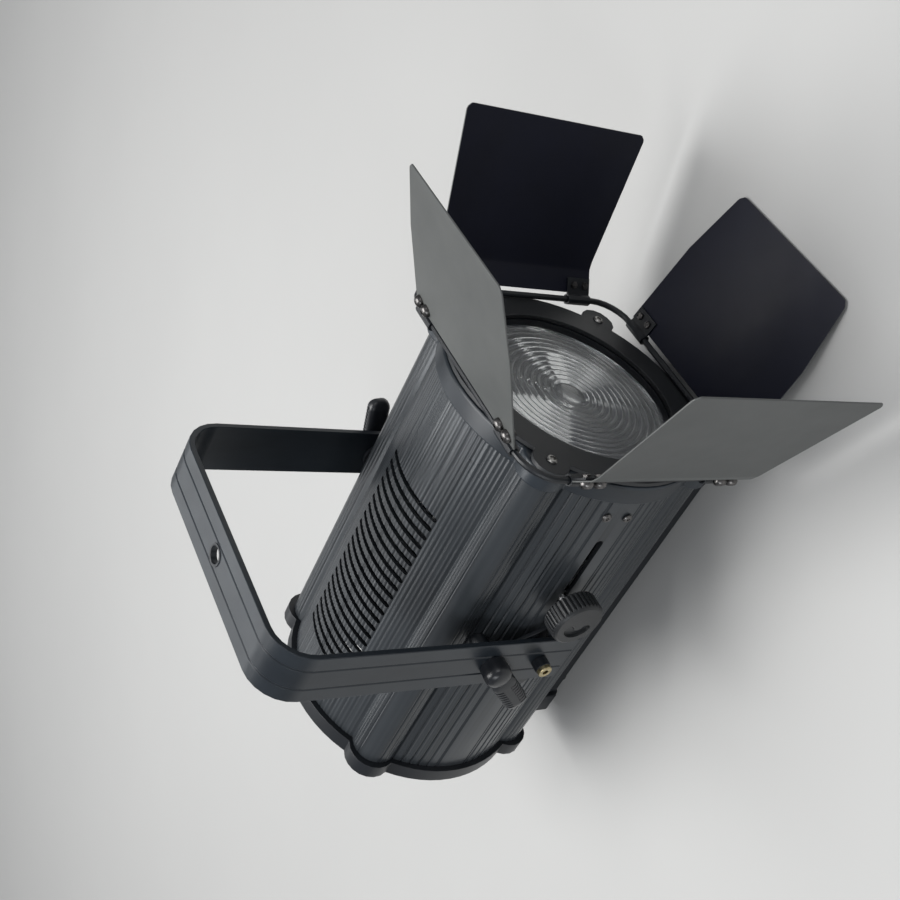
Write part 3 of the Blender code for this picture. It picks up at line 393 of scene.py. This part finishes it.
def lathe(profile, axis, segs, ca=0.0, cb=0.0, closed=False, bm=None):
    bm = bm or bmesh.new()
    rows = []
    for radius, t in profile:
        if radius <= 1e-6:
            rows.append([bm.verts.new(axis_point(axis, ca, cb, t))])
        else:
            rows.append(ring(bm, circle(radius, segs, ca, cb), axis, t))
    pairs = list(zip(rows, rows[1:]))
    if closed:
        pairs.append((rows[-1], rows[0]))
    for a, b in pairs:
        for i in range(segs):
            j = (i + 1) % segs
            if len(a) == 1 and len(b) == 1:
                continue
            if len(a) == 1:
                bm.faces.new((a[0], b[j], b[i]))
            elif len(b) == 1:
                bm.faces.new((a[i], a[j], b[0]))
            else:
                bm.faces.new((a[i], a[j], b[j], b[i]))
    return bm


def soften(obj, width, limit=40.0, segments=2):
    """Rounds the sharp edges by a width in millimetres and keeps broad faces flat in shading."""
    edge = obj.modifiers.new("soft_edge", "BEVEL")
    edge.width = width * MM
    edge.segments = segments
    edge.limit_method = "ANGLE"
    edge.angle_limit = math.radians(limit)
    edge.use_clamp_overlap = True
    normal = obj.modifiers.new("even_shading", "WEIGHTED_NORMAL")
    normal.mode = "FACE_AREA"
    normal.weight = 60
    normal.keep_sharp = False


def cut(target, name, bm):
    """Cuts a helper body out of the target and applies it."""
    bmesh.ops.recalc_face_normals(bm, faces=bm.faces)
    for vert in bm.verts:
        vert.co = vert.co * MM
    mesh = bpy.data.meshes.new(name)
    bm.to_mesh(mesh)
    bm.free()
    tool = bpy.data.objects.new(name, mesh)
    bpy.context.scene.collection.objects.link(tool)
    tool.matrix_world = target.matrix_world.copy()
    mod = target.modifiers.new(name, "BOOLEAN")
    mod.operation = "DIFFERENCE"
    mod.solver = "EXACT"
    mod.object = tool
    bpy.context.view_layer.update()
    graph = bpy.context.evaluated_depsgraph_get()
    made = bpy.data.meshes.new_from_object(target.evaluated_get(graph))
    target.modifiers.remove(mod)
    target.data = made
    bpy.data.objects.remove(tool, do_unlink=True)


# ---------------------------------------------------------------- housing


def rib_profile(angle_deg):
    """Radius of the extruded face at an angle above the +X side, between the corner rails."""
    a = angle_deg % 360.0
    if a > 180.0:
        a = a - 360.0
    above = a if abs(a) <= 90.0 else math.copysign(180.0 - abs(a), a)
    radius = BODY_R
    if above > TOP_RIBS_ABOVE:
        height = 0.42 + 0.16 * math.sin(above * 1.7)
        return radius - height * (0.5 - 0.5 * math.cos(2.0 * math.pi * above / TOP_RIB_PITCH))
    if PLAIN_LOW < above < PLAIN_HIGH:
        plain_edge = min(above - PLAIN_LOW, PLAIN_HIGH - above)
        return radius - (0.7 if plain_edge < PLAIN_EDGE else 0.0)
    phase = above % GROOVE_PITCH
    groove = max(0.0, 1.0 - abs(phase - GROOVE_AT) / 0.42)
    bead = max(0.0, 1.0 - abs(phase - BEAD_AT) / 0.4)
    fine = 0.5 - 0.5 * math.cos(8.0 * math.pi * above / GROOVE_PITCH)
    return radius - GROOVE_DEPTH * groove + BEAD_HEIGHT * bead - 0.1 * fine


def body_outline():
    cos_half = (BODY_R**2 + LOBE_D**2 - LOBE_R**2) / (2.0 * BODY_R * LOBE_D)
    half = math.degrees(math.acos(cos_half))
    jx = BODY_R * math.cos(math.radians(half)) - LOBE_D
    jy = BODY_R * math.sin(math.radians(half))
    sweep = math.degrees(math.atan2(jy, jx))
    centres = [LOBE_ANGLE, 180.0 - LOBE_ANGLE, 180.0 + LOBE_ANGLE, 360.0 - LOBE_ANGLE]
    points = []
    for k in range(4):
        here = centres[k]
        after = centres[(k + 1) % 4] + (360.0 if k == 3 else 0.0)
        cx = LOBE_D * math.cos(math.radians(here))
        cz = LOBE_D * math.sin(math.radians(here))
        for i in range(RAIL_STEPS + 1):
            ang = here - sweep + 2.0 * sweep * i / RAIL_STEPS
            # three fine grooves on each side of the rail
            off = abs(ang - here)
            dip = 0.0
            for mark in (sweep * 0.42, sweep * 0.62, sweep * 0.80):
                dip = max(dip, 0.5 * max(0.0, 1.0 - abs(off - mark) / 2.6))
            rad = LOBE_R - dip
            points.append((cx + rad * math.cos(math.radians(ang)), cz + rad * math.sin(math.radians(ang))))
        start = here + half + 0.25
        end = after - half - 0.25
        steps = int((end - start) / OUTLINE_STEP)
        for i in range(steps + 1):
            ang = start + (end - start) * i / steps
            rad = rib_profile(ang)
            points.append((rad * math.cos(math.radians(ang)), rad * math.sin(math.radians(ang))))
    return points


outline = body_outline()
shell = emit("housing_ribbed", plate([outline, circle(BORE_R, 96)], "Y", BODY_FRONT, BODY_REAR),
             HOUSE, "fixture", angle=28)
vents = bmesh.new()
for i in range(VENT_COUNT):
    y = VENT_FIRST + i * VENT_PITCH
    slot = stadium(-VENT_HALF, VENT_HALF, y - VENT_WIDTH / 2.0, y + VENT_WIDTH / 2.0)
    plate([slot], "Z", 84.0, 112.0, vents)
knob_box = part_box("zoom_knob")
knob_y = ((knob_box[0][1] + knob_box[1][1]) / 2.0 - Y0) / MM
knob_z = ((knob_box[0][2] + knob_box[1][2]) / 2.0 - Z0) / MM
slide = stadium(knob_y - SLIDE_SLOT_FRONT, knob_y + SLIDE_SLOT_REAR,
                knob_z - SLIDE_SLOT_HALF, knob_z + SLIDE_SLOT_HALF)
plate([slide], "X", -112.0, -88.0, vents)
cut(shell, "vent_cuts", vents)
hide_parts("housing_shell")

# ---------------------------------------------------------------- lens and light chamber

profile = [(0.0, 4.4), (5.0, 4.6), (10.0, 5.4), (12.2, 6.4), (LENS_CENTRE_R, 8.0)]
pitch = (LENS_R - LENS_RIM - LENS_CENTRE_R) / LENS_RINGS
for i in range(LENS_RINGS):
    inner = LENS_CENTRE_R + i * pitch
    for k in range(1, RING_STEPS + 1):
        s = k / RING_STEPS
        # each ring is a crowned ridge: a steep inner face, then a rounded slope
        rise = math.sin(math.pi * min(1.0, s * 0.95 + 0.05)) ** 0.6
        profile.append((inner + pitch * s * 0.96, 8.6 - 3.0 * rise))
profile += [(LENS_R - 4.2, 7.6), (LENS_R, 7.6), (LENS_R, 12.0), (0.0, 12.0)]
lens = emit("fresnel_rings", lathe(profile, "Y", 128), glass_mat, "fixture", angle=60)
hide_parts("fresnel_lens")

# a short ring behind the lens, and a cup that slides with the engine and stays clear of the ring
cone = [(78.0, 19.0), (75.0, 50.0), (76.4, 50.0), (79.4, 19.0)]
emit("light_chamber", lathe(cone, "Y", 72, closed=True), mirror_mat, "fixture")
cup = [(30.0, 107.4), (42.0, 98.0), (52.0, 86.0), (58.0, 74.0)]
cup += [(59.2, 74.0), (53.2, 86.4), (43.0, 99.0), (31.0, 107.4)]
emit("reflector_cup", lathe(cup, "Y", 72, closed=True), mirror_mat, "zoom_carriage")

# ---------------------------------------------------------------- leaf screws and clip ends


def leaf_matrix(kind):
    """Leaf axes: x along the rod, y along the leaf, z out of its outer face."""
    pos = joint_pos("leaf_%s_swing" % kind)
    a = math.radians(LEAF_REST[kind])
    if kind == "top":
        ex, ey, ez = (1, 0, 0), (0, -math.cos(a), math.sin(a)), (0, math.sin(a), math.cos(a))
    elif kind == "bottom":
        ex, ey, ez = (1, 0, 0), (0, -math.cos(a), -math.sin(a)), (0, math.sin(a), -math.cos(a))
    elif kind == "right":
        ex, ey, ez = (0, 0, 1), (math.sin(a), -math.cos(a), 0), (math.cos(a), math.sin(a), 0)
    else:
        ex, ey, ez = (0, 0, 1), (-math.sin(a), -math.cos(a), 0), (-math.cos(a), math.sin(a), 0)
    if Vector(ex).cross(Vector(ey)).dot(Vector(ez)) < 0:
        ex = tuple(-c for c in ex)
    rot = Matrix((ex, ey, ez)).transposed().to_4x4()
    return Matrix.Translation(pos) @ rot


for kind in LEAF_KINDS:
    base = leaf_matrix(kind)
    for tag, side in (("a", -1), ("b", 1)):
        bm = bmesh.new()
        for off in (-CLIP_SCREW_U, CLIP_SCREW_U):
            u = side * CLIP_AT[kind] + off
            lathe(CLIP_DOME, "Z", 20, u, CLIP_SCREW_V, bm=bm)
            lathe(CLIP_NUT, "Z", 6, u, CLIP_SCREW_V, bm=bm)
        emit("clip_screws_%s_%s" % (kind, tag), bm, DARKSTEEL, "leaf_" + kind, base)

# ---------------------------------------------------------------- leaves, grey outside and black inside with a painted blue sheen


def leaf_rows(kind):
    """(half width, distance, height) of the sheet's inner face, as in the solids."""
    if kind in ("top", "bottom"):
        rows = [(77.0, LEAF_ROOT, GAP), (74.5, 77.0, GAP)]
        rows += [(66.0, 128.0, GAP), (65.4, 130.0, GAP), (62.4, 133.4, GAP), (60.6, 134.0, GAP)]
        return rows
    bend = math.radians(SIDE_BEND)
    rows = [(SIDE_ROOT_HALF, LEAF_ROOT, GAP), (SIDE_ROOT_HALF, SIDE_BEND_AT, GAP)]
    for step in range(1, 6):
        a = bend * step / 6.0
        drop = SIDE_BEND_R * (1.0 - math.cos(a))
        rows.append((SIDE_ROOT_HALF, SIDE_BEND_AT + SIDE_BEND_R * math.sin(a), GAP - drop))
    for half, along in ((72.9, 5.0), (83.5, 104.5), (83.0, 106.5), (80.6, 109.0), (79.0, 109.5)):
        rows.append((half, SIDE_FLAP_AT + along * math.cos(bend), GAP - along * math.sin(bend)))
    return rows


for kind in LEAF_KINDS:
    rows = leaf_rows(kind)
    normals = []
    for i in range(len(rows)):
        total = Vector((0.0, 0.0))
        for a, b in ((i - 1, i), (i, i + 1)):
            if a >= 0 and b < len(rows):
                step = Vector((rows[b][1] - rows[a][1], rows[b][2] - rows[a][2])).normalized()
                total += Vector((-step.y, step.x))
        normals.append(total.normalized())
    bm = bmesh.new()
    sections = []
    for (half, v, n), normal in zip(rows, normals):
        v1 = v + normal.x * SHEET
        n1 = n + normal.y * SHEET
        section = [(-half, v, n), (half, v, n), (half, v1, n1), (-half, v1, n1)]
        sections.append([bm.verts.new(p) for p in section])
    for a, b in zip(sections, sections[1:]):
        wall(bm, a, b)
    bm.faces.new(sections[0])
    bm.faces.new(sections[-1])
    sheet = emit("leaf_sheet_" + kind, bm, LEAF, "leaf_" + kind, leaf_matrix(kind), angle=24)
    # the inner faces take the black coat with its painted blue sheen
    sheet.data.materials.append(LEAF_BLACK_SHEEN)
    outward = leaf_matrix(kind).to_3x3() @ Vector((0.0, 0.0, 1.0))
    for poly in sheet.data.polygons:
        if poly.normal.dot(outward) < -0.5:
            poly.material_index = 1
    edge = sheet.modifiers.new("soft_edge", "BEVEL")
    edge.width = SHEET_EDGE * MM
    edge.segments = 2
    edge.limit_method = "ANGLE"
    edge.angle_limit = math.radians(50.0)
    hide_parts("leaf_" + kind)

# ---------------------------------------------------------------- fittings

yoke_frame = Matrix.Translation(joint_pos("yoke_tilt")) @ Matrix.Rotation(math.radians(YOKE_TILT), 4, "X")
eyelet = [(6.6, 0.05), (8.6, 0.05), (8.4, 0.65), (7.4, 0.8), (6.6, 0.5)]
eyelet = [(r, YOKE_RISE + t) for r, t in eyelet]
emit("yoke_eyelet", lathe(eyelet, "Z", 40, closed=True), TRIM, "yoke", yoke_frame)
for side, word in ((-1, "left"), (1, "right")):
    washer = [(5.4, 112.25), (9.6, 112.25), (9.6, 112.55), (5.4, 112.55)]
    washer = [(r, side * t) for r, t in washer]
    emit("lever_washer_" + word, lathe(washer, "X", 32, closed=True), STEEL, "yoke", yoke_frame)

for side, word in ((-1, "left"), (1, "right")):
    lo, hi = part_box("lock_bolt_" + word)
    mid = Matrix.Translation((0.0, (lo[1] + hi[1]) / 2.0, (lo[2] + hi[2]) / 2.0))
    face = abs((lo[0] if side < 0 else hi[0]) - X0) / MM
    collar = [(5.65, 10.6), (6.3, 10.6), (6.3, 3.6), (6.0, 3.2), (5.65, 3.2)]
    collar = [(r, side * (face - t) + X0 / MM) for r, t in collar]
    emit("bolt_collar_" + word, lathe(collar, "X", 32, closed=True), TRIM, "yoke", mid)


def lever_section(t, groove):
    """Outline of the handle across its length, with grooves either side of its ridge."""
    taper = min(1.0, 0.62 + t / 26.0)
    points = []
    for k in range(24):
        a = 2.0 * math.pi * (k + 0.5) / 24.0
        ca, sa = math.cos(a), math.sin(a)
        across = 9.4 * taper * math.copysign(abs(ca) ** 0.62, ca)
        out = 5.9 * taper * math.copysign(abs(sa) ** 0.72, sa)
        if groove and sa > -0.1 and abs(ca) > 0.26:
            out -= LEVER_GROOVE * sa
            across -= LEVER_GROOVE * ca
        points.append((across, out))
    return points


for side, word in ((-1, "left"), (1, "right")):
    pos = joint_pos("tilt_lever_%s_turn" % word)
    rest = math.radians(LEVER_REST[word])
    run = (math.cos(rest), math.sin(rest))
    bm = bmesh.new()
    stations = [(4.0, False), (9.0, False), (13.0, False)]
    pitch = (LEVER_LENGTH - 5.5 - 14.5) / LEVER_RIBS
    for i in range(LEVER_RIBS):
        t = 14.5 + i * pitch
        stations += [(t, False), (t + 0.12 * pitch, True)]
        stations += [(t + 0.50 * pitch, True), (t + 0.62 * pitch, False)]
    stations += [(LEVER_LENGTH - back, False) for back in (5.0, 3.8, 2.4, 1.3, 0.6, 0.15)]
    rows = []
    for t, groove in stations:
        past = max(0.0, t - LEVER_LENGTH + LEVER_END) / LEVER_END
        shrink = math.sqrt(1.0 - past**2)
        rise = 8.3 + 5.6 * t / LEVER_LENGTH
        section = []
        for across, out in lever_section(t, groove):
            out = rise + out * shrink
            across = across * (0.12 + 0.88 * shrink)
            along = run[0] * t - run[1] * across
            height = run[1] * t + run[0] * across
            section.append(bm.verts.new((side * out, along, height)))
        rows.append(section)
    for a, b in zip(rows, rows[1:]):
        wall(bm, a, b)
    bm.faces.new(rows[0])
    bm.faces.new(rows[-1])
    body = "tilt_lever_" + word
    handle = emit("lever_handle_" + word, bm, LEVER, body, Matrix.Translation(pos), 24)
    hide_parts(body)
    hub = lathe([(0.0, 0.0)] + [(r, side * t) for r, t in LEVER_DOME], "X", 48)
    emit("lever_hub_" + word, hub, LEVER, body, Matrix.Translation(pos), 50)


def toothed(radius, dip):
    """Rim outline with narrow grooves between broad round teeth."""
    points = []
    for i in range(KNOB_TEETH):
        for frac, depth in ((0.0, 0.25), (0.3, 0.0), (0.6, 0.25), (0.68, 1.0), (0.92, 1.0)):
            a = 2.0 * math.pi * (i + frac) / KNOB_TEETH
            r = radius - dip * depth
            points.append((r * math.cos(a), r * math.sin(a)))
    return points


def kidney(outer, inner, span):
    """Finger dish: an arc-shaped hollow with round ends on one side of the face."""
    end = math.radians(span)
    mid = (outer + inner) / 2.0
    tip = (outer - inner) / 2.0
    points = arc(outer, -span, span, 16)
    points += arc(tip, span, span + 180.0, 8, mid * math.cos(end), mid * math.sin(end))[1:-1]
    points += arc(inner, span, -span, 10)
    points += arc(tip, 180.0 - span, 360.0 - span, 8, mid * math.cos(end), -mid * math.sin(end))[1:-1]
    return points


bm = bmesh.new()
face = KNOB_LEN - 0.1
rims = []
# each rim: how far it lies inside the knob's radius, the depth of its grooves, and its distance outwards
for inset, dip, t in ((0.9, 1.2, 0.0), (0.0, 1.3, 0.9), (0.0, 1.3, KNOB_LEN - 3.4),
                      (0.5, 0.3, KNOB_LEN - 2.2), (1.4, 0.0, KNOB_LEN - 1.0), (2.8, 0.0, face)):
    rims.append(ring(bm, toothed(KNOB_R - inset, dip), "X", -t))
for a, b in zip(rims, rims[1:]):
    wall(bm, a, b)
lip = ring(bm, kidney(12.5, 4.5, 62.0), "X", -face)
pan = ring(bm, kidney(12.0, 5.0, 62.0), "X", -(KNOB_LEN - 2.7))
fill(bm, [rims[-1], lip])
wall(bm, lip, pan)
fill(bm, [pan])
fill(bm, [rims[0]])
knob_place = Matrix.Translation(joint_pos("zoom_knob_turn"))
knob = emit("knob_knurled", bm, PLASTIC, "zoom_knob", knob_place, 26)
soften(knob, 0.25, 32.0)
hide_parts("zoom_knob")

head = [(0.0, 0.0), (4.1, 0.0), (4.0, -0.5), (3.2, -1.3), (2.0, -1.6), (1.8, -0.6), (0.0, -0.6)]
for i in range(1, 5):
    lo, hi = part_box("plate_screw_%d" % i)
    seat = Matrix.Translation(((lo[0] + hi[0]) / 2.0, hi[1], (lo[2] + hi[2]) / 2.0))
    piece = emit("plate_screw_head_%d" % i, lathe(head, "Y", 28), STEEL, "fixture", seat)
    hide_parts("plate_screw_%d" % i)

# ---------------------------------------------------------------- finish on the CAD nodes

PAINT = {
    "rear_cap": TRIM, "front_bezel": BARS, "front_plate": PLATE, "lens_holder": TRIM, "lens_retainer": ALU,
    "barndoor_frame": TRIM, "yoke": BARS, "sector_plate_left": TRIM, "sector_plate_right": TRIM,
    "pivot_stud_left": TRIM, "pivot_stud_right": TRIM, "lock_bolt_left": BRASS, "lock_bolt_right": BRASS,
    "zoom_carriage": ALU,
    "guide_rod_left": STEEL, "guide_rod_right": STEEL, "led_emitter": phos_mat, "led_heatsink": ALU,
    "fan_frame": PLASTIC, "fan_rotor": PLASTIC, "base_channel": TRIM, "base_end": TRIM, "driver_unit": ALU,
    "side_screw_1": DARKSTEEL, "side_screw_2": DARKSTEEL, "rear_panel": PLATE, "display_window": screen_mat,
    "power_inlet": PLASTIC, "dmx_in": PLASTIC, "dmx_out": PLASTIC,
}
for i in range(1, 5):
    PAINT["foot_%d" % i] = RUBBER
    PAINT["menu_button_%d" % i] = PLASTIC
for kind in LEAF_KINDS:
    PAINT["clip_%s_a" % kind] = TRIM
    PAINT["clip_%s_b" % kind] = TRIM
# width of each node's rounded edges in millimetres, where it isn't the usual 0.2
SOFT_EDGE = {
    "rear_cap": 1.6, "front_bezel": 1.2, "front_plate": 0.5, "yoke": 0.35,
    "base_channel": 0.8, "base_end": 1.2, "rear_panel": 0.5,
    "lock_bolt_left": 0.3, "lock_bolt_right": 0.3, "sector_plate_left": 0.4, "sector_plate_right": 0.4,
    "display_window": 0.4, "power_inlet": 0.6, "dmx_in": 0.6, "dmx_out": 0.6,
}
for name, obj in frame["nodes"].items():
    mat = PAINT.get(name)
    if mat is not None:
        if not obj.material_slots:
            obj.data.materials.append(mat)
        for i in range(len(obj.material_slots)):
            obj.material_slots[i].material = mat
    obj.data.polygons.foreach_set("use_smooth", [True] * len(obj.data.polygons))
    weld = obj.modifiers.new("weld", "WELD")
    weld.merge_threshold = 0.000002
    flat = obj.modifiers.new("flat_faces", "DECIMATE")
    flat.decimate_type = "DISSOLVE"
    flat.angle_limit = math.radians(0.4)
    soften(obj, SOFT_EDGE.get(name, 0.2), 30.0)

# ---------------------------------------------------------------- stage, light and camera

floor_mat, floor_tree, floor_node = shader("pale_floor", (0.50, 0.50, 0.49), 0.55)
cloud = noise(floor_tree, coords(floor_tree, (1.0, 1.0, 1.0)), 3.0, 3.0)
floor_shade = tint(floor_tree, cloud, (0.485, 0.485, 0.478), (0.515, 0.515, 0.506))
floor_tree.links.new(floor_shade, floor_node.inputs["Base Color"])
floor_bm = bmesh.new()
# the floor runs away from the camera's side and curves up into a wall
sweep_path = [(-FLOOR_NEAR, 0.0), (CURVE_AT, 0.0)]
for step in range(1, 10):
    a = math.radians(10.0 * step)
    sweep_path.append((CURVE_AT + CURVE_R * math.sin(a), CURVE_R - CURVE_R * math.cos(a)))
sweep_path.append((CURVE_AT + CURVE_R, WALL_TOP))
look = math.radians(CAMERA_AZIMUTH)
rows = []
for d, z in sweep_path:
    row = []
    for s in (-FLOOR_HALF, FLOOR_HALF):
        x = s * math.cos(look) - d * math.sin(look)
        y = s * math.sin(look) + d * math.cos(look)
        row.append(floor_bm.verts.new((x, y, z)))
    rows.append(row)
for a, b in zip(rows, rows[1:]):
    floor_bm.faces.new((a[0], a[1], b[1], b[0]))
floor_mesh = bpy.data.meshes.new("floor")
floor_bm.to_mesh(floor_mesh)
floor_bm.free()
floor_mesh.materials.append(floor_mat)
floor_mesh.polygons.foreach_set("use_smooth", [True] * len(floor_mesh.polygons))
floor = bpy.data.objects.new("floor", floor_mesh)
bpy.context.scene.collection.objects.link(floor)


def area(name, place, aim, size, power, color=(1.0, 1.0, 1.0)):
    data = bpy.data.lights.new(name, "AREA")
    data.shape = "RECTANGLE"
    data.size = size[0]
    data.size_y = size[1]
    data.energy = power
    data.color = color
    obj = bpy.data.objects.new(name, data)
    bpy.context.scene.collection.objects.link(obj)
    obj.location = place
    obj.rotation_euler = (Vector(aim) - Vector(place)).to_track_quat("-Z", "Y").to_euler()
    return obj


area("overhead", (0.35, 0.3, 2.3), (0.0, 0.0, 0.1), (1.8, 1.5), 60.0, (1.0, 0.995, 0.985))
area("back_soft", (1.7, 1.6, 1.6), (0.0, 0.0, 0.2), (1.6, 0.9), 9.0, (0.97, 0.985, 1.0))
area("left_fill", (-2.1, 0.1, 1.1), (0.0, 0.0, 0.1), (0.7, 1.4), 13.0, (0.95, 0.98, 1.0))
area("front_fill", (-0.6, -2.3, 1.3), (0.0, 0.0, 0.1), (0.8, 1.2), 7.0)

sky = bpy.data.worlds.new("soft_room")
bpy.context.scene.world = sky
sky.use_nodes = True
sky.node_tree.nodes["Background"].inputs["Color"].default_value = (0.93, 0.95, 1.0, 1.0)
sky.node_tree.nodes["Background"].inputs["Strength"].default_value = 0.32
bpy.context.scene.view_settings.view_transform = "Standard"

azimuth = math.radians(CAMERA_AZIMUTH)
elevation = math.radians(CAMERA_ELEVATION)
level = math.cos(elevation)
back = Vector((math.sin(azimuth) * level, -math.cos(azimuth) * level, math.sin(elevation)))
right = Vector((math.cos(azimuth), math.sin(azimuth), 0.0))
up = back.cross(right)
target = world(*CAMERA_TARGET)
eye = target + back * CAMERA_DISTANCE
# the camera is rolled a quarter turn, so the object's top points to the left edge
rot = Matrix((-up, right, back)).transposed().to_4x4()
cam_data = bpy.data.cameras.new("camera")
cam_data.sensor_width = 36.0
cam_data.lens = CAMERA_LENS
cam_data.clip_end = 60.0
camera = bpy.data.objects.new("camera", cam_data)
bpy.context.scene.collection.objects.link(camera)
camera.matrix_world = Matrix.Translation(eye) @ rot
bpy.context.scene.camera = camera
